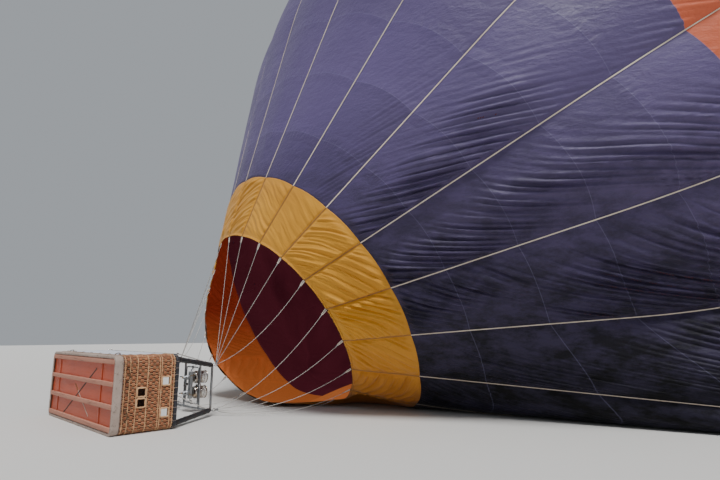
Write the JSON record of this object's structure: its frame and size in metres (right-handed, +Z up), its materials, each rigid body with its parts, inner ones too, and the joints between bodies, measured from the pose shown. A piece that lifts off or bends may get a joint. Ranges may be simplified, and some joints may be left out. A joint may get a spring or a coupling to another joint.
{
  "type": "hot air balloon",
  "caption": "Hot air balloon during filling: wicker basket on its side with burner frame, and a half-raised fabric envelope whose open mouth faces the burners.",
  "frame": {"origin": "on the ground, under the middle of the whole balloon's bounding box", "axes": "+X from the basket's underside to its rim and on to the envelope, +Y along the basket, +Z up"},
  "size_m": [24.1402, 20.3336, 17.6117],
  "materials": {
    "envelope_fabric": "satin",
    "mouth_band_fabric": "matte",
    "load_tape": "matte",
    "wire_rope": "satin",
    "painted_board": "satin",
    "runner_timber": "matte",
    "rawhide": "matte",
    "wicker": "satin",
    "rim_leather": "satin",
    "upright_cover": "matte",
    "banner_cloth": "matte",
    "cylinder_steel": "satin",
    "frame_steel": "satin",
    "burner_steel": "gloss"
  },
  "bodies": {
    "balloon": {"gore_01": "envelope_fabric", "gore_02": "envelope_fabric", "gore_03": "envelope_fabric", "gore_04": "envelope_fabric", "gore_05": "envelope_fabric", "gore_06": "envelope_fabric", "gore_07": "envelope_fabric", "gore_08": "envelope_fabric", "gore_09": "envelope_fabric", "gore_10": "envelope_fabric", "gore_11": "envelope_fabric", "gore_12": "envelope_fabric", "gore_13": "envelope_fabric", "gore_14": "envelope_fabric", "gore_15": "envelope_fabric", "gore_16": "envelope_fabric", "gore_17": "envelope_fabric", "gore_18": "envelope_fabric", "gore_19": "envelope_fabric", "gore_20": "envelope_fabric", "mouth_band_1": "mouth_band_fabric", "mouth_band_2": "mouth_band_fabric", "mouth_band_3": "mouth_band_fabric", "mouth_band_4": "mouth_band_fabric", "vent_panel": "envelope_fabric", "crown_ring": "load_tape", "flying_wires_1": "wire_rope", "flying_wires_2": "wire_rope", "flying_wires_3": "wire_rope", "flying_wires_4": "wire_rope", "floor_board": "painted_board", "runner_1": "runner_timber", "runner_2": "runner_timber", "runner_3": "runner_timber", "runner_4": "runner_timber", "base_band": "rawhide", "wicker_end_near": "wicker", "wicker_end_far": "wicker", "wicker_side_lower": "wicker", "wicker_side_upper": "wicker", "partition_1": "wicker", "partition_2": "wicker", "rim_bolster": "rim_leather", "side_banner": "banner_cloth", "fuel_cylinder_1": "cylinder_steel", "fuel_cylinder_2": "cylinder_steel", "fuel_cylinder_3": "cylinder_steel", "fuel_cylinder_4": "cylinder_steel", "load_frame": "frame_steel", "upright_1": "upright_cover", "upright_2": "upright_cover", "upright_3": "upright_cover", "upright_4": "upright_cover"},
    "gimbal": {"gimbal_yoke": "frame_steel"},
    "burners": {"burner_block": "frame_steel", "burner_can_1": "burner_steel", "burner_can_2": "burner_steel"}
  },
  "joints": [
    {"name": "gimbal_tilt", "type": "hinge", "parent": "balloon", "child": "gimbal", "pos_m": [-9.84761, 2.72812, 0.55], "axis": [0, 1, 0], "range_deg": [-15, 15]},
    {"name": "burner_swing", "type": "hinge", "parent": "gimbal", "child": "burners", "pos_m": [-9.84761, 2.72812, 0.55], "axis": [0, 0, 1], "range_deg": [-15, 15]}
  ]
}
